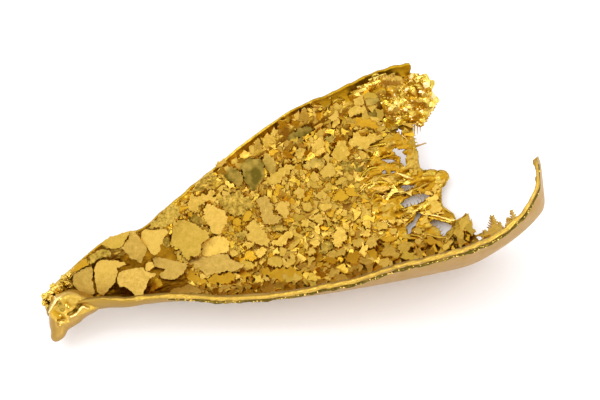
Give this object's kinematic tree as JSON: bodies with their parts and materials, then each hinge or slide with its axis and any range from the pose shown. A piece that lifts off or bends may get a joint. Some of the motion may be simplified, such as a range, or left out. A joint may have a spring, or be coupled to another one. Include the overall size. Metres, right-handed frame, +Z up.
{
  "type": "gold crystal",
  "caption": "Half-open trough of grown gold, smooth outside, its hollow crowded with flat crystal plates, torn and lacy at the wide end, with a thin curled finger and a hooked tip.",
  "frame": {"origin": "middle of the footprint, at the level of the surface that the belly rests on", "axes": "+X runs along the trough from the hooked tip to the wide open end, +Z up with the hollow facing up, +Y to the trough's far side"},
  "size_m": [0.0392, 0.0176, 0.0115],
  "materials": {
    "gold": "bare gold: satin where it grew on glass, bright on its crystal faces and torn edges"
  },
  "bodies": {
    "root": {"gold_crystal": "gold"}
  },
  "joints": []
}
